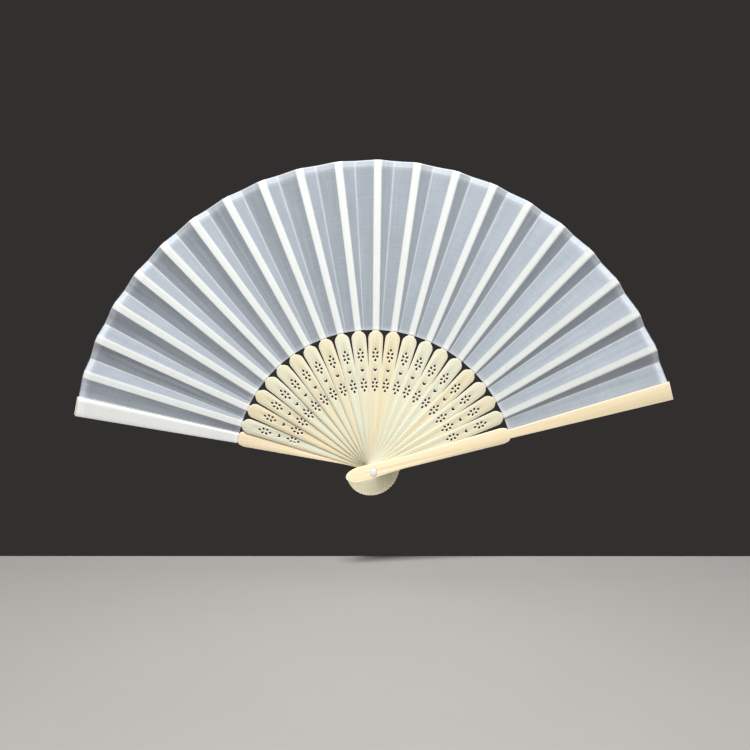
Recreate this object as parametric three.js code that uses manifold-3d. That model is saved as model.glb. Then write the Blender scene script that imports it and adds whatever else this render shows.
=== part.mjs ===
// An open folding hand fan. Twenty pierced bamboo sticks and two guards turn on one rivet, and
// a pleated silk leaf is glued to the front of the sticks' thin outer ribs.
//
// Millimetres, +Z up. The origin is on the rivet's axis, halfway through the stack. The fan
// opens in the XZ plane and faces -Y. Angles are in degrees from +X towards +Z. Each layer is
// drawn with x running out from the rivet and z across it, and then turned to its own angle.

import * as THREE from 'three';
import { mergeVertices } from 'three/addons/utils/BufferGeometryUtils.js';
import Module from 'manifold-3d';

const wasm = await Module();
wasm.setup();

// Driving dimensions
const CLOSED_LENGTH = 230;
const GUARD_HEAD = 19.4;
const STICK_HEAD = 18.9;
const STICK_COUNT = 20;
const FRONT_GUARD_ANGLE = 15;
const FIRST_STICK_ANGLE = 23.6;
const STICK_STEP = 7.26;
const REAR_GUARD_ANGLE = 168.3;

// Thicknesses, and how the layers stack along Y
const GUARD_THICKNESS = 2.2;
const STICK_THICKNESS = 0.8;
const RIB_THICKNESS = 0.4;
const SLIDE_GAP = 0.1;
const SILK_THICKNESS = 0.15;
const GLUE_GAP = 0.05;

// The leaf, and the ribs that carry it
const LEAF_INNER = 96.5;
const LEAF_OUTER = 210.2;
const RIB_LENGTH = 208.7;
const RIB_HALF = { inner: 2.2, outer: 2.4 };
const RIB_LEAN = 1;
const VALLEY_ACROSS = { inner: -3.8, outer: -10.4 };
const VALLEY_DEPTH = { inner: 0.9, outer: 4.4 };
const PLEAT_GAP = 0.3;
const REAR_OVERHANG = { far: 0.8, near: 0.1 };
const LEAF_STEPS = 8;

// Stick and guard outlines
const HEAD_CENTRE = -8.5;
const STICK_WAIST = 12;
const STICK_HEAD_HALF = 4.3;
const STICK_WAIST_HALF = 3.1;
const SHOULDER_RADIUS = 5;
const SHOULDER_TOP = 96;
const GUARD_WAIST = 22;
const GUARD_HEAD_HALF = 5.05;
const GUARD_WAIST_HALF = 3.95;
const GUARD_SHOULDER_HALF = 5.45;
const GUARD_BLADE_HALF = { inner: 3, outer: 6.35 };
const GUARD_SHOULDER_START = 90;
const GUARD_BLADE_START = 96;
const GUARD_SIDESTEP = 0.9;

// Piercings
const FLOWER_CENTRES = [79.6, 58.9];
const BIRD_CENTRE = 69.1;
const PETAL_REACH = { along: 3.8, diagonal: 1.35 };
const PETAL_LENGTH = 1.85;
const PETAL_WIDTH = 1.35;

// Rivet
const PIN_RADIUS = 1;
const RIVET_HOLE_RADIUS = 1.15;
const CAP_RADIUS = 2.3;
const CAP_HEIGHT = 1.4;
const SOCKET_DEPTH = 0.6;

const GUARD_LENGTH = CLOSED_LENGTH - GUARD_HEAD;
const LAYER_PITCH = STICK_THICKNESS + SLIDE_GAP;
const STACK_THICKNESS = 2 * GUARD_THICKNESS + STICK_COUNT * LAYER_PITCH + SLIDE_GAP;
const STACK_FRONT = -STACK_THICKNESS / 2;
const STACK_BACK = STACK_THICKNESS / 2;
const FRONT_GUARD_BACK = STACK_FRONT + GUARD_THICKNESS;
const REAR_GUARD_FRONT = STACK_BACK - GUARD_THICKNESS;
const RIB_RECESS = STICK_THICKNESS - RIB_THICKNESS;
const REAR_GUARD = STICK_COUNT + 1;

const fan = new THREE.Group();

// Layers are numbered from the front guard, 0, through the sticks to the rear guard.
function layerAngle(layer) {
  if (layer === 0) return FRONT_GUARD_ANGLE;
  if (layer === REAR_GUARD) return REAR_GUARD_ANGLE;
  return FIRST_STICK_ANGLE + (layer - 1) * STICK_STEP;
}

function stickFront(layer) {
  return FRONT_GUARD_BACK + SLIDE_GAP + (layer - 1) * LAYER_PITCH;
}

// The plane that the silk is glued to: the back of the front guard, or the front of a rib.
function glueFace(layer) {
  return layer === 0 ? FRONT_GUARD_BACK : stickFront(layer) + RIB_RECESS;
}

// The depth of the silk's front face on each layer.
function silkFront(layer) {
  const gap = layer === 0 ? GLUE_GAP : -GLUE_GAP - SILK_THICKNESS;
  return glueFace(layer) + gap;
}

function material(color, roughness, metalness = 0) {
  return new THREE.MeshStandardMaterial({ color, roughness, metalness });
}

function add(name, geometry, look, angle = 0) {
  const mesh = new THREE.Mesh(geometry, look);
  mesh.name = name;
  mesh.rotation.y = -THREE.MathUtils.degToRad(angle);
  fan.add(mesh);
}

// An outline in x and y becomes a plate in x and z, from depth `front` to depth `back`.
function plate(outline, front, back) {
  const geometry = new THREE.ExtrudeGeometry(outline, {
    depth: back - front,
    bevelEnabled: false,
    curveSegments: 4,
  });
  geometry.rotateX(Math.PI / 2);
  geometry.translate(0, back, 0);
  return geometry;
}

function toSolid(geometry) {
  const bare = geometry.clone();
  bare.deleteAttribute('normal');
  bare.deleteAttribute('uv');
  const merged = mergeVertices(bare, 1e-5);
  return new wasm.Manifold(new wasm.Mesh({
    numProp: 3,
    vertProperties: new Float32Array(merged.attributes.position.array),
    triVerts: new Uint32Array(merged.index.array),
  }));
}

function toGeometry(solid) {
  const mesh = solid.getMesh();
  const geometry = new THREE.BufferGeometry();
  geometry.setAttribute('position', new THREE.BufferAttribute(mesh.vertProperties, 3));
  geometry.setIndex(new THREE.BufferAttribute(mesh.triVerts, 1));
  geometry.computeVertexNormals();
  return geometry;
}

// A hole whose rim is `sides` points round an ellipse, with its length at `tilt` to the outline's x.
function ellipseHole(x, y, length, width, tilt, sides) {
  const rim = new THREE.EllipseCurve(x, y, length / 2, width / 2, 0, 2 * Math.PI, true, tilt);
  return new THREE.Path(rim.getPoints(sides).slice(0, sides));
}

function rivetHole() {
  return ellipseHole(0, 0, 2 * RIVET_HOLE_RADIUS, 2 * RIVET_HOLE_RADIUS, 0, 10);
}

// Six petals that point away from the flower's centre: two along the stick and four aslant.
function flowerHoles(centre) {
  const petals = [];
  for (const side of [-1, 1]) {
    const x = centre + side * PETAL_REACH.along;
    petals.push(ellipseHole(x, 0, PETAL_LENGTH, PETAL_WIDTH, 0, 6));
    for (const flank of [-1, 1]) {
      const slant = centre + side * PETAL_REACH.diagonal;
      const across = flank * PETAL_REACH.diagonal;
      petals.push(ellipseHole(slant, across, PETAL_LENGTH, PETAL_WIDTH, side * flank * Math.PI / 4, 6));
    }
  }
  return petals;
}

// A little bird with raised wings, its tail towards the rivet.
function birdHole(centre) {
  const bird = new THREE.Path();
  bird.moveTo(centre - 1.1, 0);
  bird.lineTo(centre - 0.3, -1.05);
  bird.lineTo(centre + 0.95, -1.25);
  bird.lineTo(centre + 0.55, 0);
  bird.lineTo(centre + 0.95, 1.25);
  bird.lineTo(centre - 0.3, 1.05);
  return bird;
}

// An oval head, drawn from one waist to the other round the rivet's end of a stick or guard.
function drawHead(outline, centre, length, half, waist, waistHalf) {
  const middle = (HEAD_CENTRE + waist) / 2;
  const upper = { head: centre + half, waist: centre + waistHalf };
  const lower = { head: centre - half, waist: centre - waistHalf };
  outline.moveTo(waist, upper.waist);
  outline.bezierCurveTo(middle, upper.waist, middle, upper.head, HEAD_CENTRE, upper.head);
  outline.absellipse(HEAD_CENTRE, centre, length + HEAD_CENTRE, half, Math.PI / 2, 1.5 * Math.PI);
  outline.bezierCurveTo(middle, lower.head, middle, lower.waist, waist, lower.waist);
}

// The wide part of a stick that shows below the leaf: an oval head, a waist, straight sides and a
// round shoulder.
function stickOutline() {
  const shoulderCentre = SHOULDER_TOP - SHOULDER_RADIUS;
  const outline = new THREE.Shape();
  drawHead(outline, 0, STICK_HEAD, STICK_HEAD_HALF, STICK_WAIST, STICK_WAIST_HALF);
  outline.absarc(shoulderCentre, 0, SHOULDER_RADIUS, -Math.PI / 2, Math.PI / 2);
  outline.holes = [rivetHole(), birdHole(BIRD_CENTRE), ...FLOWER_CENTRES.flatMap(flowerHoles)];
  return outline;
}

function ribOutline() {
  const outline = new THREE.Shape();
  const root = SHOULDER_TOP - SHOULDER_RADIUS;
  outline.moveTo(root, -RIB_HALF.inner);
  outline.lineTo(RIB_LENGTH, RIB_LEAN - RIB_HALF.outer);
  outline.lineTo(RIB_LENGTH, RIB_LEAN + RIB_HALF.outer);
  outline.lineTo(root, RIB_HALF.inner);
  return outline;
}

// A stick's rib is half as thick as the rest, flush at the back, which leaves room for the silk.
function stickGeometry() {
  const gorge = toSolid(plate(stickOutline(), 0, STICK_THICKNESS));
  const rib = toSolid(plate(ribOutline(), RIB_RECESS, STICK_THICKNESS));
  return toGeometry(gorge.add(rib));
}

// Half of a guard's blade's width, given where the leaf's inner and outer edges cross it.
function bladeHalf(x) {
  const { inner, outer } = GUARD_BLADE_HALF;
  return THREE.MathUtils.mapLinear(x, LEAF_INNER, LEAF_OUTER, inner, outer);
}

// How far to one side of the rivet a guard's centre line passes. The rear guard is the front one
// turned over, so its own is on the other side.
function guardCentre(layer) {
  return layer === 0 ? GUARD_SIDESTEP : -GUARD_SIDESTEP;
}

function guardOutline(layer) {
  const centre = guardCentre(layer);
  const root = bladeHalf(GUARD_BLADE_START);
  const tip = bladeHalf(GUARD_LENGTH);
  const corner = [GUARD_BLADE_START - GUARD_SHOULDER_START, GUARD_SHOULDER_HALF - root];
  const outline = new THREE.Shape();
  drawHead(outline, centre, GUARD_HEAD, GUARD_HEAD_HALF, GUARD_WAIST, GUARD_WAIST_HALF);
  outline.absellipse(GUARD_SHOULDER_START, centre - root, ...corner, -Math.PI / 2, 0);
  outline.lineTo(GUARD_LENGTH, centre - tip);
  outline.lineTo(GUARD_LENGTH, centre + tip);
  outline.absellipse(GUARD_SHOULDER_START, centre + root, ...corner, 0, Math.PI / 2);
  outline.holes = [rivetHole()];
  return outline;
}

function frontGuardGeometry() {
  return plate(guardOutline(0), STACK_FRONT, FRONT_GUARD_BACK);
}

// The rear guard's blade is set back under the silk that is glued to its front.
function rearGuardGeometry() {
  const blank = toSolid(plate(guardOutline(REAR_GUARD), REAR_GUARD_FRONT, STACK_BACK));
  const recess = new THREE.BoxGeometry(GUARD_LENGTH, RIB_RECESS, 4 * GUARD_HEAD_HALF);
  recess.translate(GUARD_BLADE_START + GUARD_LENGTH / 2, REAR_GUARD_FRONT + RIB_RECESS / 2, 0);
  return toGeometry(blank.subtract(toSolid(recess)));
}

// How far across, counter-clockwise from the layer's axis, each edge of what carries the silk is.
function gluedEdges(layer) {
  const onGuard = layer === 0 || layer === REAR_GUARD;
  const half = onGuard ? GUARD_BLADE_HALF : RIB_HALF;
  const centre = onGuard
    ? { inner: guardCentre(layer), outer: guardCentre(layer) }
    : { inner: 0, outer: RIB_LEAN };
  const spare = layer === REAR_GUARD ? REAR_OVERHANG : { far: 0, near: 0 };
  const edge = (place, flank, over) => centre[place] + flank * (half[place] + over);
  return {
    far: { inner: edge('inner', 1, spare.far), outer: edge('outer', 1, spare.far) },
    near: { inner: edge('inner', -1, spare.near), outer: edge('outer', -1, spare.near) },
  };
}

// A fold's two ends, given how far across and how deep each one is on a layer, seen from a
// layer that is `turn` degrees further round.
function foldLine(across, depth, turn = 0) {
  const end = (radius, offset, y) => {
    const angle = Math.asin(offset / radius) - THREE.MathUtils.degToRad(turn);
    return new THREE.Vector3(radius * Math.cos(angle), y, radius * Math.sin(angle));
  };
  return [
    end(LEAF_INNER, across.inner, depth.inner),
    end(LEAF_OUTER, across.outer, depth.outer),
  ];
}

// One pleat of the leaf: a strip glued to its own layer, a slope down to the valley fold and a
// slope back up to the edge of the layer in front. It is a box, bent to those four fold lines.
function pleatGeometry(layer) {
  const own = gluedEdges(layer);
  const next = gluedEdges(layer - 1);
  const front = silkFront(layer);
  const turn = layerAngle(layer) - layerAngle(layer - 1);
  const level = (y) => ({ inner: y, outer: y });
  const last = layer === REAR_GUARD;
  const tuck = layer === 1 ? -1 : PLEAT_GAP;
  const valley = last
    ? { inner: own.near.inner - PLEAT_GAP, outer: own.near.outer - PLEAT_GAP }
    : VALLEY_ACROSS;
  const sink = last ? level(front + GUARD_THICKNESS - RIB_RECESS) : {
    inner: front + VALLEY_DEPTH.inner,
    outer: front + VALLEY_DEPTH.outer,
  };
  const ridge = { inner: next.far.inner + tuck, outer: next.far.outer + tuck };
  const folds = [
    foldLine(own.far, level(front)),
    foldLine(own.near, level(front)),
    foldLine(valley, sink),
    foldLine(ridge, level(silkFront(layer - 1)), turn),
  ];
  const box = new THREE.BoxGeometry(1, 1, 1, LEAF_STEPS, 1, folds.length - 1);
  const corner = box.attributes.position;
  const point = new THREE.Vector3();
  for (let i = 0; i < corner.count; i += 1) {
    const [inner, outer] = folds[Math.round((0.5 - corner.getZ(i)) * (folds.length - 1))];
    point.lerpVectors(inner, outer, corner.getX(i) + 0.5);
    point.y += corner.getY(i) > 0 ? SILK_THICKNESS : 0;
    corner.setXYZ(i, point.x, point.y, point.z);
  }
  return toGeometry(toSolid(box));
}

// The leaf's last strip, glued to the back of the front guard.
function gluedStripGeometry() {
  const edges = gluedEdges(0);
  const inset = 1 + PLEAT_GAP;
  const outline = new THREE.Shape();
  outline.moveTo(LEAF_INNER + 1, edges.near.inner + inset);
  outline.lineTo(GUARD_LENGTH - 1, edges.near.outer + inset);
  outline.lineTo(GUARD_LENGTH - 1, edges.far.outer - inset);
  outline.lineTo(LEAF_INNER + 1, edges.far.inner - inset);
  return plate(outline, silkFront(0), silkFront(0) + SILK_THICKNESS);
}

// A domed cap with a socket for the pin's end. It faces +Y, and `flip` turns it to face -Y.
function capGeometry(flip) {
  const socketRadius = PIN_RADIUS + GLUE_GAP;
  const profile = [new THREE.Vector2(0, SOCKET_DEPTH), new THREE.Vector2(socketRadius, SOCKET_DEPTH)];
  profile.push(new THREE.Vector2(socketRadius, 0));
  const dome = new THREE.EllipseCurve(0, 0.2, CAP_RADIUS, CAP_HEIGHT - 0.2, 0, Math.PI / 2);
  profile.push(new THREE.Vector2(CAP_RADIUS, 0), ...dome.getPoints(5));
  profile[profile.length - 1].x = 0;
  const cap = new THREE.LatheGeometry(profile, 18);
  cap.translate(0, STACK_BACK + GLUE_GAP, 0);
  if (flip) cap.rotateX(Math.PI);
  return cap;
}

function pinGeometry() {
  const length = STACK_THICKNESS + 2 * SOCKET_DEPTH;
  return new THREE.CylinderGeometry(PIN_RADIUS, PIN_RADIUS, length, 16);
}

const guardBamboo = material(0xf3dcae, 0.55);
const stickTones = [0xeee2c0, 0xe6e3ce, 0xf0dfb8, 0xe9e4c9];
const silk = material(0xc3ccd4, 0.6);
const whitePlastic = material(0xe2e6f2, 0.3);
const steel = material(0xb9bcc0, 0.35, 1);

add('front_guard', frontGuardGeometry(), guardBamboo, layerAngle(0));
add('rear_guard', rearGuardGeometry(), material(0xf0dcb4, 0.55), layerAngle(REAR_GUARD));

const stick = stickGeometry();
for (let layer = 1; layer <= STICK_COUNT; layer += 1) {
  const look = material(stickTones[layer % stickTones.length], 0.6);
  const placed = stick.clone().translate(0, stickFront(layer), 0);
  add(`stick_${String(layer).padStart(2, '0')}`, placed, look, layerAngle(layer));
}

add('leaf_strip_00', gluedStripGeometry(), silk, layerAngle(0));
for (let layer = 1; layer <= REAR_GUARD; layer += 1) {
  add(`leaf_pleat_${String(layer).padStart(2, '0')}`, pleatGeometry(layer), silk, layerAngle(layer));
}

add('rivet_pin', pinGeometry(), steel);
add('rivet_cap_front', capGeometry(true), whitePlastic);
add('rivet_cap_rear', capGeometry(false), whitePlastic);

export default fan;
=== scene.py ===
"""An open folding hand fan: bamboo sticks and guards on a rivet, with a pleated silk leaf.

Sizes are in millimetres and become metres when a mesh is made. The origin is on the rivet's
axis, halfway through the stack. The fan opens in the XZ plane and faces -Y. Angles are in
degrees from +X towards +Z. Layers are numbered from the front guard, 0, through the sticks to
the rear guard, 21, and each is drawn with x running out from the rivet and y across it.
"""

import math

import bmesh
import bpy
import numpy as np
from mathutils import Matrix, Vector, noise


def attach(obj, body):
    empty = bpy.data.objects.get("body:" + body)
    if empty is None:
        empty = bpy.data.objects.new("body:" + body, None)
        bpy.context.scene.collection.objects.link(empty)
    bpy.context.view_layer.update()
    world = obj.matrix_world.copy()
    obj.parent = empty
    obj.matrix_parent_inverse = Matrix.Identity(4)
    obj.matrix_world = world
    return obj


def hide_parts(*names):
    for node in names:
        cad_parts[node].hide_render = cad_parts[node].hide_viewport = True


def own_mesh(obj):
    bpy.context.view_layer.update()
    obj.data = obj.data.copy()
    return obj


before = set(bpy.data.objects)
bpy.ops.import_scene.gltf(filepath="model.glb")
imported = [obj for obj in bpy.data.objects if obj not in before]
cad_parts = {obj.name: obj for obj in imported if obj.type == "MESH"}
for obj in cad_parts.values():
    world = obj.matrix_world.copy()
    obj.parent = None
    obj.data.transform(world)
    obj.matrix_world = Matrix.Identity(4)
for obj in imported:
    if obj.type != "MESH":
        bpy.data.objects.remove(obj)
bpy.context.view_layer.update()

MM = 0.001

# Layers and how they stack along Y
STICK_COUNT = 20
REAR_GUARD = STICK_COUNT + 1
FRONT_GUARD_ANGLE = 15
FIRST_STICK_ANGLE = 23.6
STICK_STEP = 7.26
REAR_GUARD_ANGLE = 168.3
GUARD_THICKNESS = 2.2
STICK_THICKNESS = 0.8
RIB_THICKNESS = 0.4
LAYER_PITCH = 0.9
SLIDE_GAP = LAYER_PITCH - STICK_THICKNESS
STACK_BACK = (2 * GUARD_THICKNESS + STICK_COUNT * LAYER_PITCH + SLIDE_GAP) / 2
FRONT_GUARD_BACK = GUARD_THICKNESS - STACK_BACK
REAR_GUARD_FRONT = STACK_BACK - GUARD_THICKNESS
RIB_RECESS = STICK_THICKNESS - RIB_THICKNESS
GUARD_BEVEL = 0.5
STICK_BEVEL = 0.3
RIB_BEVEL = 0.08
WELD_DISTANCE = 0.005
WOOD_SMOOTH_ANGLE = 35
CAP_SMOOTH_ANGLE = 50

# Stick and guard outlines. A pair is a size at the leaf's inner and at its outer edge.
HEAD_CENTRE = -8.5
STICK_HEAD = 18.9
STICK_HEAD_HALF = 4.3
STICK_WAIST = 12
STICK_WAIST_HALF = 3.1
SHOULDER_RADIUS = 5
SHOULDER_TOP = 96
RIB_LENGTH = 208.7
RIB_HALF = (2.2, 2.4)
RIB_LEAN = 1
CLOSED_LENGTH = 230
GUARD_HEAD = 19.4
GUARD_LENGTH = CLOSED_LENGTH - GUARD_HEAD
GUARD_HEAD_HALF = 5.05
GUARD_WAIST = 22
GUARD_WAIST_HALF = 3.95
GUARD_SHOULDER_HALF = 5.45
GUARD_BLADE_HALF = (3, 6.35)
GUARD_SHOULDER_START = 90
GUARD_BLADE_START = 96
GUARD_SIDESTEP = 0.9

# Piercings
FLOWER_CENTRES = (79.6, 58.9)
BIRD_CENTRE = 69.1
PETAL_ALONG = 3.8
PETAL_DIAGONAL = 1.35
PETAL_LENGTH = 2
PETAL_WIDTH = 1.5

# The rivet
PIN_RADIUS = 1
RIVET_HOLE_RADIUS = 1.15
CAP_RADIUS = 2.3
CAP_HEIGHT = 1.4
CAP_RIM = 0.25
CAP_EDGE = 0.08
CAP_SIDES = 40
GLUE_GAP = 0.05

# The leaf
LEAF_INNER = 96.5
LEAF_OUTER = 210.2
VALLEY_ACROSS = (-3.8, -10.4)
VALLEY_DEPTH = (0.9, 4.4)
SILK_GAP = 0.12
FRONT_TUCK = 1
REAR_OVERHANG_FAR = 0.8
REAR_OVERHANG_NEAR = 0.1
REAR_PLEAT_GAP = 0.3
HEM_WIDTH = 3.8
INNER_HEM_WIDTH = 0.9
HEM_THICKNESS = 0.25

# Where the hems end, as shares of the way from the leaf's inner to its outer edge
LEAF_LENGTH = LEAF_OUTER - LEAF_INNER
INNER_HEM = INNER_HEM_WIDTH / LEAF_LENGTH
OUTER_HEM = 1 - HEM_WIDTH / LEAF_LENGTH

# The leaf's mesh: rows along a facet, and columns across one that is glued, a strip or a gusset
ROW_COUNT = 40
HEM_ROWS = 4
GLUED_COLUMNS = 4
STRIP_COLUMNS = 8
GUSSET_COLUMNS = 12

# How far a free facet bulges, as a share of its width
STRIP_BILLOW = 0.02
GUSSET_BILLOW = 0.03

# Its ripples, pressed creases and fine ripples: how strong they are, as a share of its width, and
# how fast they change from piece to piece, along the facet and across it
RIPPLES = ((0.02, 3.7, 5.0, 1.5), (0.025, 5.3, 1.4, 4.5), (0.006, 9.1, 17.0, 3.0))

# The next layer's wood is cut from this far away, in metres, along the grain and across it. The
# next piece's silk is shifted along its threads.
GRAIN_SHIFT = (0.37, 0.05)
CLOTH_SHIFT = 0.013

# A face whose normal has this much of Y in it is a side, which gets painted shade, or the flat front
# or back.
SAWN_AND_SHADE_BELOW = 0.3
FLAT_ABOVE = 0.97

# Bamboo: a pale, a warm and a dark tone. The layers differ in their share of the warm one.
STICK_COLOURS = ((0.71, 0.74, 0.60), (0.78, 0.69, 0.47), (0.57, 0.45, 0.27))
GUARD_COLOURS = ((0.91, 0.82, 0.60), (0.90, 0.74, 0.47), (0.70, 0.51, 0.28))
# Rounded edges are painted paler: wear, and a painted highlight where light catches them.
WORN_AND_HIGHLIGHT_COLOUR = (0.97, 0.93, 0.80)
WORN_AND_HIGHLIGHT_STRENGTH = 0.7
# Sides are painted darker brown: the inner fibres, and painted shade for the dark lines between the
# stacked sticks.
SAWN_AND_SHADE_COLOUR = (0.52, 0.37, 0.17)
SAWN_AND_SHADE_STRENGTH = 0.75
CREAM_STICKS = (2, 4, 9, 10, 13, 15, 18, 19)
CREAM_TONE = 0.8
GREEN_TONE = 0.25
TONE_SPREAD = 0.15
TONE_STEP = 2.4
GUARD_TONE = 0.55

# Silk: its colours, its threads' spacing in metres, and how much of what is behind it they cover
SILK_BLUE = (0.70, 0.80, 0.92)
SILK_PALE = (0.78, 0.87, 0.98)
SILK_GLUED = (0.87, 0.91, 0.92)
# Folds and the leaf's turned edges are painted whiter as a painted highlight; the hems are whiter for
# their doubled silk.
SILK_FOLD_HIGHLIGHT = (0.95, 0.97, 0.98)
FOLD_HIGHLIGHT_STRENGTH = 0.7
THREAD_PITCH = 0.00028
SILK_COVER = 0.54
CREASE_COVER = 0.2
GLUED_COVER = 0.26
HEM_DENSITY = 0.45
SILK_SHEERNESS = 0.24

CAP_COLOUR = (0.74, 0.78, 0.88)
STEEL_DARK = (0.5, 0.5, 0.52)
STEEL_BRIGHT = (0.66, 0.66, 0.66)
FLOOR_COLOUR = (0.38, 0.372, 0.36)
ROOM_COLOUR = (0.032, 0.029, 0.028)

# Camera and floor: places and sizes in metres, lens and sensor in millimetres, turn in degrees
CAMERA_PLACE = (-0.017, -0.627, 0.1425)
CAMERA_TARGET = (0.0012, 0, 0.0655)
CAMERA_LENS = 44.2
SENSOR_WIDTH = 36
FLOOR_TURN = 1.7
FLOOR_LEVEL = -0.074
FLOOR_THICKNESS = 0.008
FLOOR_FRONT = -0.9
FLOOR_BACK = 0.034
FLOOR_HALF = 0.7


def layer_angle(layer):
    if layer == 0:
        return FRONT_GUARD_ANGLE
    if layer == REAR_GUARD:
        return REAR_GUARD_ANGLE
    return FIRST_STICK_ANGLE + (layer - 1) * STICK_STEP


def stick_front(layer):
    return FRONT_GUARD_BACK + SLIDE_GAP + (layer - 1) * LAYER_PITCH


def silk_depth(layer):
    """The depth of the silk where it is glued: just behind the front guard, or on a rib's front."""
    if layer == 0:
        return FRONT_GUARD_BACK + SILK_GAP
    return stick_front(layer) + RIB_RECESS - SILK_GAP


def layer_body(layer):
    if layer == 0:
        return "front_guard"
    return "rear_guard" if layer == REAR_GUARD else f"stick_{layer:02d}"


def layer_centre(layer):
    """How far across the guard's or rib's centre line is, at the leaf's inner and outer edges.
    The rear guard is the front one turned over, so it steps to the other side."""
    if layer == 0:
        return (GUARD_SIDESTEP, GUARD_SIDESTEP)
    return (-GUARD_SIDESTEP, -GUARD_SIDESTEP) if layer == REAR_GUARD else (0, RIB_LEAN)


def turned(layer, x, across, depth):
    """A layer's point in the fan's own frame, in metres."""
    angle = math.radians(layer_angle(layer))
    out = x * math.cos(angle) - across * math.sin(angle)
    up = x * math.sin(angle) + across * math.cos(angle)
    return Vector((out, depth, up)) * MM


# ---------------------------------------------------------------- outlines

def arc(x, y, radii, start, end, steps):
    """Points on an ellipse whose radii along x and y are given."""
    return [
        (x + radii[0] * math.cos(a), y + radii[1] * math.sin(a))
        for a in np.linspace(math.radians(start), math.radians(end), steps)
    ]


def ease(start, end, steps):
    """Points on a curve that leaves one point and meets the other along x, without those two."""
    points = []
    for share in np.linspace(0, 1, steps + 2)[1:-1]:
        rise = share * share * (3 - 2 * share)
        points.append((start[0] + share * (end[0] - start[0]), start[1] + rise * (end[1] - start[1])))
    return points


def ellipse(x, y, length, width, tilt, steps=16):
    """A hole's rim, which runs the other way round from an outline."""
    points = []
    for a in np.linspace(2 * math.pi, 0, steps, endpoint=False):
        along, across = length / 2 * math.cos(a), width / 2 * math.sin(a)
        points.append((
            x + along * math.cos(tilt) - across * math.sin(tilt),
            y + along * math.sin(tilt) + across * math.cos(tilt),
        ))
    return points


def head(centre, length, half, waist, waist_half):
    """An oval head, from the waist on one side of the rivet to the waist on the other."""
    upper = [(waist, centre + waist_half), (HEAD_CENTRE, centre + half)]
    lower = [(HEAD_CENTRE, centre - half), (waist, centre - waist_half)]
    oval = arc(HEAD_CENTRE, centre, (length + HEAD_CENTRE, half), 90, 270, 25)
    return [upper[0]] + ease(*upper, 9) + oval + ease(*lower, 9) + [lower[1]]


def flower(centre):
    """Six petals that point away from the flower's centre."""
    petals = []
    for side in (-1, 1):
        petals.append(ellipse(centre + side * PETAL_ALONG, 0, PETAL_LENGTH, PETAL_WIDTH, 0))
        for flank in (-1, 1):
            tilt = side * flank * math.pi / 4
            x, y = centre + side * PETAL_DIAGONAL, flank * PETAL_DIAGONAL
            petals.append(ellipse(x, y, PETAL_LENGTH, PETAL_WIDTH, tilt))
    return petals


def bird(centre):
    """A little bird with raised wings, its tail towards the rivet."""
    half = [(-1.1, 0), (-0.8, -0.5), (-0.3, -1.0), (0.4, -1.28), (0.98, -1.22), (0.85, -0.6)]
    outline = half + [(0.5, 0)] + [(x, -y) for x, y in reversed(half[1:])]
    return [(centre + x, y) for x, y in reversed(outline)]


def round_hole(radius):
    return ellipse(0, 0, 2 * radius, 2 * radius, 0)


def stick_loops():
    """A stick's outline, without its rib, and its piercings."""
    shoulder = arc(SHOULDER_TOP - SHOULDER_RADIUS, 0, (SHOULDER_RADIUS, SHOULDER_RADIUS), -90, 90, 21)
    outer = head(0, STICK_HEAD, STICK_HEAD_HALF, STICK_WAIST, STICK_WAIST_HALF) + shoulder
    petals = [petal for centre in FLOWER_CENTRES for petal in flower(centre)]
    return [outer, round_hole(RIVET_HOLE_RADIUS), bird(BIRD_CENTRE)] + petals


def rib_loop():
    """The thin rib that carries the leaf, from inside the stick's shoulder to its tip."""
    root = SHOULDER_TOP - SHOULDER_RADIUS
    return [
        (root, -RIB_HALF[0]),
        (RIB_LENGTH, RIB_LEAN - RIB_HALF[1]),
        (RIB_LENGTH, RIB_LEAN + RIB_HALF[1]),
        (root, RIB_HALF[0]),
    ]


def blade_half(x):
    """Half the width of a guard's blade, which widens towards its tip."""
    share = (x - LEAF_INNER) / LEAF_LENGTH
    return GUARD_BLADE_HALF[0] + share * (GUARD_BLADE_HALF[1] - GUARD_BLADE_HALF[0])


def guard_loop(layer):
    """An oval head, a waist, a round shoulder and a blade with a square tip."""
    centre = layer_centre(layer)[0]
    root = blade_half(GUARD_BLADE_START)
    tip = blade_half(GUARD_LENGTH)
    corner = (GUARD_BLADE_START - GUARD_SHOULDER_START, GUARD_SHOULDER_HALF - root)
    return (
        head(centre, GUARD_HEAD, GUARD_HEAD_HALF, GUARD_WAIST, GUARD_WAIST_HALF)
        + arc(GUARD_SHOULDER_START, centre - root, corner, -90, 0, 11)
        + [(GUARD_LENGTH, centre - tip), (GUARD_LENGTH, centre + tip)]
        + arc(GUARD_SHOULDER_START, centre + root, corner, 0, 90, 11)
    )


# ---------------------------------------------------------------- meshes

def plate_mesh(loops, front, back, bevel):
    """Outlines become a plate between two depths, with bevelled edges, at angle 0, in millimetres."""
    curve = bpy.data.curves.new("plate", "CURVE")
    curve.dimensions = "2D"
    curve.fill_mode = "BOTH"
    curve.extrude = (back - front) / 2 - bevel
    curve.bevel_depth = bevel
    curve.bevel_resolution = 1
    curve.offset = -bevel
    for loop in loops:
        spline = curve.splines.new("POLY")
        spline.points.add(len(loop) - 1)
        for point, (x, y) in zip(spline.points, loop):
            point.co = (x, y, 0, 1)
        spline.use_cyclic_u = True
    holder = bpy.data.objects.new("plate", curve)
    bpy.context.scene.collection.objects.link(holder)
    bpy.context.view_layer.update()
    evaluated = holder.evaluated_get(bpy.context.evaluated_depsgraph_get())
    mesh = bpy.data.meshes.new_from_object(evaluated)
    bpy.data.objects.remove(holder)
    mesh.transform(Matrix.Rotation(math.radians(90), 4, "X"))
    mesh.transform(Matrix.Translation((0, (front + back) / 2, 0)))
    clean = bmesh.new()
    clean.from_mesh(mesh)
    bmesh.ops.remove_doubles(clean, verts=clean.verts, dist=WELD_DISTANCE)
    bmesh.ops.recalc_face_normals(clean, faces=clean.faces)
    clean.to_mesh(mesh)
    clean.free()
    return mesh


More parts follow.
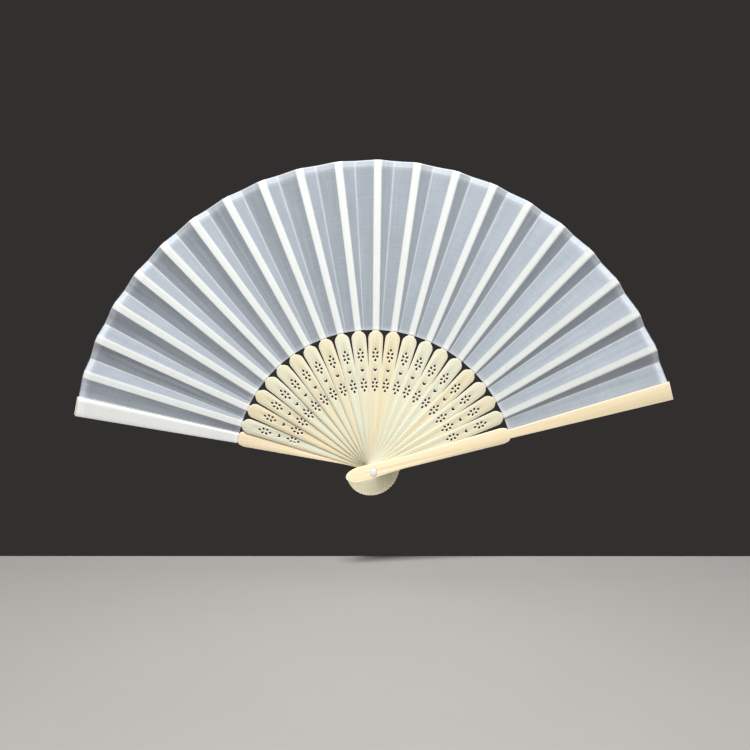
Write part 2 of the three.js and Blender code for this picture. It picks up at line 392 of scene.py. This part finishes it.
def combined(mesh, other, operation):
    """The mesh with the other one added or cut away."""
    holder = bpy.data.objects.new("holder", mesh)
    tool = bpy.data.objects.new("tool", other)
    for thing in (holder, tool):
        bpy.context.scene.collection.objects.link(thing)
    boolean = holder.modifiers.new("boolean", "BOOLEAN")
    boolean.operation = operation
    boolean.object = tool
    boolean.solver = "EXACT"
    bpy.context.view_layer.update()
    evaluated = holder.evaluated_get(bpy.context.evaluated_depsgraph_get())
    result = bpy.data.meshes.new_from_object(evaluated)
    for thing in (holder, tool):
        bpy.data.objects.remove(thing)
    return result


def box_mesh(low, high):
    """A box between two opposite corners."""
    made = bmesh.new()
    bmesh.ops.create_cube(made, size=1)
    for vert in made.verts:
        vert.co = [a + (c + 0.5) * (b - a) for c, a, b in zip(vert.co, low, high)]
    mesh = bpy.data.meshes.new("box")
    made.to_mesh(mesh)
    made.free()
    return mesh


def mark(mesh, name, domain, values):
    """Writes a number on every point or face, for the materials to read."""
    mesh.attributes.new(name, "FLOAT", domain).data.foreach_set("value", values)


def wood_mesh(plate, layer, shift_y, tone):
    """A copy of a plate turned to its layer. Its grain coordinates run along it, in a different
    part of the wood for each layer. Its rounded edges are marked to be painted paler, for wear and a
    painted highlight, and its sides to be painted darker, for the fibres and painted shade."""
    mesh = plate.copy()
    mesh.transform(Matrix.Translation((0, shift_y, 0)))
    mesh.transform(Matrix.Scale(MM, 4))
    grain = []
    for vert in mesh.vertices:
        grain += [vert.co.x + layer * GRAIN_SHIFT[0], vert.co.z + layer * GRAIN_SHIFT[1], vert.co.y]
    mesh.attributes.new("grain", "FLOAT_VECTOR", "POINT").data.foreach_set("vector", grain)
    mark(mesh, "tone", "POINT", [tone] * len(mesh.vertices))
    facing = [abs(face.normal.y) for face in mesh.polygons]
    # Rounded edges, painted paler for wear and a painted highlight.
    mark(mesh, "worn_and_highlight", "FACE", [1.0 if SAWN_AND_SHADE_BELOW < share < FLAT_ABOVE else 0.0 for share in facing])
    # Sides, painted darker brown for the fibres and painted shade between the sticks.
    mark(mesh, "sawn_and_shade", "FACE", [1.0 if share < SAWN_AND_SHADE_BELOW else 0.0 for share in facing])
    mesh.transform(Matrix.Rotation(-math.radians(layer_angle(layer)), 4, "Y"))
    return mesh


def show(name, mesh, material, smooth_angle=None):
    """A new object in the scene, shaded smooth up to the given angle between its faces."""
    piece = bpy.data.objects.new(name, mesh)
    bpy.context.scene.collection.objects.link(piece)
    mesh.materials.clear()
    mesh.materials.append(material)
    if smooth_angle is not None:
        mesh.shade_smooth()
        mesh.set_sharp_from_angle(angle=math.radians(smooth_angle))
    return piece


# ---------------------------------------------------------------- materials

def new_material(name):
    material = bpy.data.materials.new(name)
    material.use_nodes = True
    material.node_tree.nodes.clear()
    return material, material.node_tree


def plug(tree, socket, value):
    """Links another node's output, or sets a value. Colours are given without an alpha."""
    if isinstance(value, bpy.types.NodeSocket):
        tree.links.new(value, socket)
    else:
        socket.default_value = (*value, 1) if socket.type == "RGBA" else value


def node(tree, kind, settings=None, **inputs):
    """A new node, its settings, and its inputs by name, each a value or another node's output."""
    made = tree.nodes.new(kind)
    for key, value in (settings or {}).items():
        setattr(made, key, value)
    for key, value in inputs.items():
        plug(tree, made.inputs[key.replace("_", " ")], value)
    return made


def attribute(tree, name, output="Fac"):
    """What the mesh says at each point, under the given name."""
    return node(tree, "ShaderNodeAttribute", {"attribute_name": name}).outputs[output]


def object_place(tree):
    return node(tree, "ShaderNodeTexCoord").outputs["Object"]


def mix_colour(tree, share, first, second):
    made = tree.nodes.new("ShaderNodeMix")
    made.data_type = "RGBA"
    for index, value in ((0, share), (6, first), (7, second)):
        plug(tree, made.inputs[index], value)
    return made.outputs[2]


def mix_shader(tree, share, first, second):
    made = node(tree, "ShaderNodeMixShader", Fac=share)
    tree.links.new(first.outputs[0], made.inputs[1])
    tree.links.new(second.outputs[0], made.inputs[2])
    return made


def maths(tree, operation, first, second=0.0, third=0.0):
    made = tree.nodes.new("ShaderNodeMath")
    made.operation = operation
    for socket, value in zip(made.inputs, (first, second, third)):
        plug(tree, socket, value)
    return made.outputs[0]


def ranged(tree, value, low, high, new_low=0.0, new_high=1.0):
    """A value moved from one range to another, and held inside it."""
    made = node(
        tree, "ShaderNodeMapRange", {"clamp": True}, Value=value,
        From_Min=low, From_Max=high, To_Min=new_low, To_Max=new_high,
    )
    return made.outputs["Result"]


def stretched_noise(tree, coordinates, scale, detail=3.0, roughness=0.55):
    """Noise whose grains are 1 / scale metres long in each direction."""
    mapped = node(tree, "ShaderNodeMapping", Vector=coordinates, Scale=scale)
    made = node(
        tree, "ShaderNodeTexNoise", Vector=mapped.outputs[0], Scale=1.0,
        Detail=detail, Roughness=roughness,
    )
    return made.outputs[0]


def mottled(tree, pattern, colour, darkest):
    """A colour that darkens with a pattern, down to a share of itself."""
    dark = [channel * darkest for channel in colour]
    return mix_colour(tree, ranged(tree, pattern, 0.3, 0.7), colour, dark)


def relief(tree, height, strength, distance):
    """A bumped normal. The distance is the relief's depth in metres."""
    made = node(tree, "ShaderNodeBump", Strength=strength, Distance=distance, Height=height)
    return made.outputs[0]


def finish(tree, shader):
    node(tree, "ShaderNodeOutputMaterial", Surface=shader.outputs[0])


def bamboo(name, pale, warm, dark):
    """Split bamboo: broad streaks between a pale and a warm tone, long fibres and fine pores. Its
    rounded edges are painted paler, for wear and a painted highlight, and its sides a darker brown,
    for the inner fibres and painted shade between the sticks."""
    material, tree = new_material(name)
    grain = attribute(tree, "grain", "Vector")
    streaks = stretched_noise(tree, grain, (9, 700, 100))
    fibres = stretched_noise(tree, grain, (45, 3200, 400), 4.0, 0.6)
    pores = stretched_noise(tree, grain, (260, 5200, 900), 2.0)
    warmth = maths(tree, "ADD", attribute(tree, "tone"), ranged(tree, streaks, 0.3, 0.7, -0.3, 0.3))
    colour = mix_colour(tree, ranged(tree, warmth, 0.0, 1.0), pale, warm)
    colour = mix_colour(tree, ranged(tree, fibres, 0.45, 0.72, 0.0, 0.38), colour, dark)
    colour = mix_colour(tree, ranged(tree, pores, 0.66, 0.76, 0.0, 0.4), colour, dark)
    # Rounded edges: wear, and a painted highlight.
    worn_and_highlight = maths(tree, "MULTIPLY", attribute(tree, "worn_and_highlight"), WORN_AND_HIGHLIGHT_STRENGTH)
    colour = mix_colour(tree, worn_and_highlight, colour, WORN_AND_HIGHLIGHT_COLOUR)
    # Sides: the inner fibres' brown, and painted shade between the sticks.
    sawn_and_shade = maths(tree, "MULTIPLY", attribute(tree, "sawn_and_shade"), SAWN_AND_SHADE_STRENGTH)
    colour = mix_colour(tree, sawn_and_shade, colour, SAWN_AND_SHADE_COLOUR)
    height = maths(tree, "MULTIPLY_ADD", fibres, 0.6, maths(tree, "MULTIPLY", pores, -0.4))
    finish(tree, node(
        tree, "ShaderNodeBsdfPrincipled", Base_Color=colour,
        Normal=relief(tree, height, 0.4, 0.00012),
        Roughness=ranged(tree, fibres, 0.3, 0.7, 0.42, 0.62), Specular_IOR_Level=0.4,
    ))
    return material


def plastic(name, colour):
    """A moulded cap: glossy, with faint swirls and scuffs."""
    material, tree = new_material(name)
    where = object_place(tree)
    swirl = stretched_noise(tree, where, (900, 900, 900), 2.0)
    scuff = stretched_noise(tree, where, (2600, 400, 2600))
    finish(tree, node(
        tree, "ShaderNodeBsdfPrincipled", Base_Color=mottled(tree, swirl, colour, 0.9),
        Normal=relief(tree, scuff, 0.1, 0.00005),
        Roughness=ranged(tree, scuff, 0.35, 0.7, 0.18, 0.4),
    ))
    return material


def steel(name):
    """Drawn wire: fine rings of scratches along the pin."""
    material, tree = new_material(name)
    scratches = stretched_noise(tree, object_place(tree), (300, 6000, 300))
    finish(tree, node(
        tree, "ShaderNodeBsdfPrincipled", Metallic=1.0,
        Base_Color=mix_colour(tree, scratches, STEEL_DARK, STEEL_BRIGHT),
        Normal=relief(tree, scratches, 0.2, 0.00003),
        Roughness=ranged(tree, scratches, 0.3, 0.7, 0.28, 0.5),
    ))
    return material


def silk(name):
    """Sheer plain-weave silk. Light passes between its threads, and some goes on through them. It
    is denser along a fold and painted whiter there as a highlight, and where it is glued to bamboo it
    is whiter and lets none through."""
    material, tree = new_material(name)
    cloth = attribute(tree, "cloth", "Vector")
    glued = attribute(tree, "glued")
    fold_highlight_and_density = attribute(tree, "fold_highlight_and_density")
    apart = node(tree, "ShaderNodeSeparateXYZ", Vector=cloth)
    turns = 2 * math.pi / THREAD_PITCH
    warp = maths(tree, "SINE", maths(tree, "MULTIPLY", apart.outputs["X"], turns))
    weft = maths(tree, "SINE", maths(tree, "MULTIPLY", apart.outputs["Y"], turns))
    weave = maths(tree, "MULTIPLY", warp, weft)
    slub_warp = stretched_noise(tree, cloth, (60, 5200, 1), 2.0)
    slub_weft = stretched_noise(tree, cloth, (5200, 90, 1), 2.0)
    slubs = maths(tree, "ADD", slub_warp, slub_weft)
    clouds = stretched_noise(tree, cloth, (45, 45, 45), 2.0)

    colour = mix_colour(tree, ranged(tree, slubs, 0.8, 1.2), SILK_BLUE, SILK_PALE)
    colour = mix_colour(tree, glued, colour, SILK_GLUED)
    # A painted highlight along the folds and edges, and the hems' doubled silk.
    painted_fold_highlight = maths(tree, "MULTIPLY", fold_highlight_and_density, FOLD_HIGHLIGHT_STRENGTH)
    colour = mix_colour(tree, painted_fold_highlight, colour, SILK_FOLD_HIGHLIGHT)
    cover = maths(tree, "ADD", SILK_COVER, ranged(tree, slubs, 0.8, 1.2, -0.03, 0.03))
    cover = maths(tree, "ADD", cover, ranged(tree, clouds, 0.3, 0.7, -0.02, 0.02))
    cover = maths(tree, "MULTIPLY_ADD", fold_highlight_and_density, CREASE_COVER, cover)
    cover = maths(tree, "MULTIPLY_ADD", glued, GLUED_COVER, cover)
    sheerness = maths(tree, "MULTIPLY_ADD", glued, -SILK_SHEERNESS, SILK_SHEERNESS)

    normal = relief(tree, maths(tree, "MULTIPLY_ADD", weave, 0.35, slubs), 0.25, 0.00006)
    facing = node(
        tree, "ShaderNodeBsdfPrincipled", Base_Color=colour, Normal=normal, Roughness=0.55,
        Specular_IOR_Level=0.3, Sheen_Weight=0.15, Sheen_Roughness=0.4,
    )
    through = node(tree, "ShaderNodeBsdfTranslucent", Color=colour, Normal=normal)
    threads = mix_shader(tree, sheerness, facing, through)
    finish(tree, mix_shader(tree, cover, node(tree, "ShaderNodeBsdfTransparent"), threads))
    return material


def painted(name, colour):
    """Matt paint with a faint mottle."""
    material, tree = new_material(name)
    mottle = stretched_noise(tree, object_place(tree), (12, 12, 12))
    tint = mottled(tree, mottle, colour, 0.97)
    finish(tree, node(tree, "ShaderNodeBsdfPrincipled", Base_Color=tint, Roughness=0.7))
    return material


# ---------------------------------------------------------------- the leaf

def glued_edges(layer):
    """How far across, counter-clockwise, the edges of the glued silk are: far and near."""
    half = GUARD_BLADE_HALF if layer in (0, REAR_GUARD) else RIB_HALF
    over_far = REAR_OVERHANG_FAR if layer == REAR_GUARD else 0
    over_near = REAR_OVERHANG_NEAR if layer == REAR_GUARD else 0
    far = tuple(c + h + over_far for c, h in zip(layer_centre(layer), half))
    near = tuple(c - h - over_near for c, h in zip(layer_centre(layer), half))
    return far, near


def fold_line(layer, across, depth):
    """Two ends of a fold, on the leaf's inner and outer edges, in metres."""
    ends = []
    for radius, offset, level in zip((LEAF_INNER, LEAF_OUTER), across, depth):
        ends.append(turned(layer, math.sqrt(radius * radius - offset * offset), offset, level))
    return ends


def ridge_far(layer):
    """The far edge of the glued silk, which is tucked in a little behind the front guard."""
    level = silk_depth(layer)
    tuck = FRONT_TUCK if layer == 0 else 0
    return fold_line(layer, [across - tuck for across in glued_edges(layer)[0]], (level, level))


def ridge_near(layer):
    """The near edge of the glued silk."""
    level = silk_depth(layer)
    return fold_line(layer, glued_edges(layer)[1], (level, level))


def valley(layer):
    """The fold behind a rib, on its near side. At the rear guard it is close beside the blade."""
    level = silk_depth(layer)
    if layer == REAR_GUARD:
        across = [edge - REAR_PLEAT_GAP for edge in glued_edges(layer)[1]]
        return fold_line(layer, across, [level + GUARD_THICKNESS - RIB_RECESS] * 2)
    return fold_line(layer, VALLEY_ACROSS, [level + depth for depth in VALLEY_DEPTH])


def radial_rows():
    """Shares of the way from the leaf's inner to its outer edge, close together at the hems."""
    middle = list(np.linspace(INNER_HEM, OUTER_HEM, ROW_COUNT))
    outer = list(np.linspace(OUTER_HEM, 1, HEM_ROWS + 1))[1:]
    return [0.0, INNER_HEM / 2] + middle + outer


def hemmed_rows():
    """Rows from one hem's cut edge to the other's, each a share of the way from the leaf's inner
    to its outer edge and a depth behind the cloth's face."""
    rows = radial_rows()
    inner_hem = [(row, HEM_THICKNESS) for row in reversed(rows) if 0 < row <= INNER_HEM]
    outer_hem = [(row, HEM_THICKNESS) for row in reversed(rows) if OUTER_HEM <= row < 1]
    return inner_hem + [(row, 0) for row in rows] + outer_hem


def facet_point(first, second, share, along, seed, billow):
    """A point on the facet between two fold lines, with the silk's slack pushed out of its plane."""
    start = first[0].lerp(first[1], along)
    stop = second[0].lerp(second[1], along)
    point = start.lerp(stop, share)
    if billow:
        slack = billow
        for strength, by_piece, by_length, by_width in RIPPLES:
            place = Vector((seed * by_piece, along * by_length, share * by_width))
            slack += strength * noise.noise(place)
        point.y += math.sin(math.pi * share) * (stop - start).length * slack
    return point


def outer_width(facet):
    """How wide a facet is along the leaf's outer edge."""
    first, second = facet[:2]
    return (first[1] - second[1]).length


def facet_columns(facets):
    """Every column across a piece of cloth: its facet, its share of the way from the facet's first
    fold to its second, and how far it is from the piece's first fold. Facets share their folds."""
    columns = []
    across = 0.0
    for facet in facets:
        count = facet[2]
        for i in range(1 if columns else 0, count + 1):
            share = i / count
            columns.append((facet, share, across + share * outer_width(facet)))
        across += outer_width(facet)
    return columns


def cloth_mesh(facets, seed):
    """Facets side by side as one mesh. Each is (first fold, second fold, columns, glued, billow).
    The leaf's inner and outer edges are turned over to the back as hems."""
    made = bmesh.new()
    cloth_layer = made.verts.layers.float_vector.new("cloth")
    glued_layer = made.verts.layers.float.new("glued")
    fold_highlight_and_density_layer = made.verts.layers.float.new("fold_highlight_and_density")
    columns = facet_columns(facets)
    lines = []
    for along, behind in hemmed_rows():
        in_hem = along <= INNER_HEM or along >= OUTER_HEM
        line = []
        for (first, second, _, glued, billow), share, across in columns:
            point = facet_point(first, second, share, along, seed, billow)
            point.y += behind * MM
            vert = made.verts.new(point)
            vert[cloth_layer] = (along * LEAF_LENGTH * MM + seed * CLOTH_SHIFT, across, seed)
            vert[glued_layer] = glued if share > 0 else 0
            # Folds and the leaf's edges get a painted highlight and denser silk; the hems get denser,
            # whiter silk.
            on_fold = share == (0 if glued else 1) or along in (0, 1)
            vert[fold_highlight_and_density_layer] = 1.0 if on_fold else HEM_DENSITY * in_hem
            line.append(vert)
        lines.append(line)
    for low, high in zip(lines, lines[1:]):
        for i in range(len(low) - 1):
            made.faces.new((low[i], low[i + 1], high[i + 1], high[i]))
    mesh = bpy.data.meshes.new("silk")
    made.to_mesh(mesh)
    made.free()
    mesh.shade_smooth()
    return mesh


def make_strip(layer, material):
    """The silk that is glued to a rib or guard, and goes on to the valley fold beside it."""
    body = layer_body(layer)
    far, near = ridge_far(layer), ridge_near(layer)
    facets = [(far, near, GLUED_COLUMNS, 1, 0)]
    if layer:
        facets.append((near, valley(layer), STRIP_COLUMNS, 0, STRIP_BILLOW))
    piece = show(f"silk_strip_{layer:02d}", cloth_mesh(facets, layer), material)
    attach(piece, body)
    if layer:
        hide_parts(f"leaf_pleat_{layer:02d}")
        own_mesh(piece)
    else:
        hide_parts("leaf_strip_00")


def make_gusset(layer, material):
    """The silk from a layer's valley fold up to the rib or guard in front of it. It rides on that
    one."""
    ridge, low = ridge_far(layer - 1), valley(layer)
    facets = [(ridge, low, GUSSET_COLUMNS, 0, GUSSET_BILLOW)]
    piece = show(f"silk_gusset_{layer:02d}", cloth_mesh(facets, layer + 0.5), material)
    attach(piece, layer_body(layer - 1))
    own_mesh(piece)


def make_leaf(material):
    for layer in range(REAR_GUARD + 1):
        make_strip(layer, material)
        if layer:
            make_gusset(layer, material)


# ---------------------------------------------------------------- sticks, guards and rivet

def make_sticks(material):
    """Copies of one stick, each in its own tone of bamboo."""
    gorge = plate_mesh(stick_loops(), 0, STICK_THICKNESS, STICK_BEVEL)
    rib = plate_mesh([rib_loop()], RIB_RECESS, STICK_THICKNESS, RIB_BEVEL)
    whole = combined(gorge, rib, "UNION")
    for layer in range(1, REAR_GUARD):
        tone = CREAM_TONE if layer in CREAM_STICKS else GREEN_TONE
        tone += TONE_SPREAD * math.sin(TONE_STEP * layer)
        mesh = wood_mesh(whole, layer, stick_front(layer), tone)
        piece = show(f"bamboo_stick_{layer:02d}", mesh, material, WOOD_SMOOTH_ANGLE)
        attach(piece, f"stick_{layer:02d}")
        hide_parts(f"stick_{layer:02d}")


def make_guards(material):
    """Two plates. The rear one is cut back along its blade to take the silk."""
    hole = round_hole(RIVET_HOLE_RADIUS)
    front = plate_mesh([guard_loop(0), hole], -STACK_BACK, FRONT_GUARD_BACK, GUARD_BEVEL)
    blank = plate_mesh([guard_loop(REAR_GUARD), hole], REAR_GUARD_FRONT, STACK_BACK, GUARD_BEVEL)
    recess = box_mesh(
        (GUARD_BLADE_START, REAR_GUARD_FRONT - 1, -3 * GUARD_HEAD_HALF),
        (2 * GUARD_LENGTH, REAR_GUARD_FRONT + RIB_RECESS, 3 * GUARD_HEAD_HALF),
    )
    rear = combined(blank, recess, "DIFFERENCE")
    for name, plate, layer in (("front", front, 0), ("rear", rear, REAR_GUARD)):
        mesh = wood_mesh(plate, layer, 0, GUARD_TONE)
        piece = show(f"bamboo_guard_{name}", mesh, material, WOOD_SMOOTH_ANGLE)
        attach(piece, f"{name}_guard")
        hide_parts(f"{name}_guard")


def cap_profile():
    """A cap's radius and height at each ring, from near the top of its dome to its socket."""
    rings = []
    for angle in np.linspace(84, 0, 12):
        a = math.radians(angle)
        rings.append((CAP_RADIUS * math.cos(a), CAP_RIM + (CAP_HEIGHT - CAP_RIM) * math.sin(a)))
    return rings + [(CAP_RADIUS, CAP_EDGE), (CAP_RADIUS - CAP_EDGE, 0), (PIN_RADIUS + GLUE_GAP, 0)]


def cap_mesh(side):
    """A domed cap on the front, for side -1, or on the back, for side 1."""
    foot = STACK_BACK + GLUE_GAP
    made = bmesh.new()
    rings = []
    for radius, height in cap_profile():
        ring = []
        for a in np.linspace(0, 2 * math.pi, CAP_SIDES, endpoint=False):
            place = (radius * math.cos(a), side * (foot + height), radius * math.sin(a))
            ring.append(made.verts.new(Vector(place) * MM))
        rings.append(ring)
    top = made.verts.new((0, side * (foot + CAP_HEIGHT) * MM, 0))
    for i in range(CAP_SIDES):
        j = (i + 1) % CAP_SIDES
        made.faces.new((top, rings[0][i], rings[0][j]))
        for inner, outer in zip(rings, rings[1:]):
            made.faces.new((inner[i], outer[i], outer[j], inner[j]))
    made.faces.new(rings[-1])
    bmesh.ops.recalc_face_normals(made, faces=made.faces)
    mesh = bpy.data.meshes.new("cap")
    made.to_mesh(mesh)
    made.free()
    return mesh


def make_rivet(cap_material, pin_material):
    """New caps. The pin is hidden in the stack, so the CAD's own one only gets a finish."""
    for name, side in (("front", -1), ("rear", 1)):
        piece = show(f"rivet_dome_{name}", cap_mesh(side), cap_material, CAP_SMOOTH_ANGLE)
        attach(piece, "front_guard")
        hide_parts(f"rivet_cap_{name}")
    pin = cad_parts["rivet_pin"]
    pin.data.materials.clear()
    pin.data.materials.append(pin_material)


# ---------------------------------------------------------------- camera, lights and floor

def aimed(thing, place, target):
    """Puts a camera or a lamp in its place and points it at its target."""
    thing.location = place
    thing.rotation_euler = (Vector(target) - Vector(place)).to_track_quat("-Z", "Y").to_euler()


def make_camera():
    data = bpy.data.cameras.new("camera")
    data.lens = CAMERA_LENS
    data.sensor_width = SENSOR_WIDTH
    camera = bpy.data.objects.new("camera", data)
    bpy.context.scene.collection.objects.link(camera)
    aimed(camera, CAMERA_PLACE, CAMERA_TARGET)
    bpy.context.scene.camera = camera


def soft_light(name, place, target, size, watts, colour, spread=180):
    """A rectangular lamp that the camera does not see."""
    data = bpy.data.lights.new(name, "AREA")
    data.shape = "RECTANGLE"
    data.size, data.size_y = size
    data.energy = watts
    data.color = colour
    data.spread = math.radians(spread)
    light = bpy.data.objects.new(name, data)
    light.visible_camera = False
    bpy.context.scene.collection.objects.link(light)
    aimed(light, place, target)


def make_lights():
    """A key light overhead and a little in front, a weak fill from low in front, one behind that
    shines through the silk, and light from the floor under the heads of the sticks."""
    soft_light("key", (-0.03, -0.52, 0.98), (0, 0, 0.08), (0.28, 0.18), 17.5, (1.0, 0.99, 0.97))
    soft_light("front", (0.1, -1.0, -0.02), (0, 0, 0), (0.6, 0.08), 0.9, (1.0, 0.98, 0.96))
    soft_light("behind", (0.12, 0.95, -0.1), (0, 0, 0.08), (0.5, 0.35), 3, (1.0, 0.99, 0.98))
    soft_light(
        "bounce", (-0.02, -0.04, -0.066), (0, -0.008, 0), (0.05, 0.03), 0.011, (1.0, 0.93, 0.82),
        spread=100,
    )


def make_room():
    """A dark room round the object."""
    world = bpy.data.worlds.new("world")
    world.use_nodes = True
    world.node_tree.nodes["Background"].inputs["Color"].default_value = (*ROOM_COLOUR, 1)
    bpy.context.scene.world = world
    bpy.context.scene.view_settings.view_transform = "Standard"


def make_floor():
    """A slab that is turned with the camera, so that its back edge looks level."""
    low = (-FLOOR_HALF, FLOOR_FRONT, FLOOR_LEVEL - FLOOR_THICKNESS)
    mesh = box_mesh(low, (FLOOR_HALF, FLOOR_BACK, FLOOR_LEVEL))
    mesh.transform(Matrix.Rotation(-math.radians(FLOOR_TURN), 4, "Z"))
    show("floor", mesh, painted("floor_paint", FLOOR_COLOUR))


make_camera()
make_lights()
make_room()
make_floor()
stick_bamboo = bamboo("stick_bamboo_wood", *STICK_COLOURS)
guard_bamboo = bamboo("guard_bamboo_wood", *GUARD_COLOURS)
make_sticks(stick_bamboo)
make_guards(guard_bamboo)
make_rivet(plastic("cap_plastic", CAP_COLOUR), steel("pin_steel"))
make_leaf(silk("leaf_silk_cloth"))
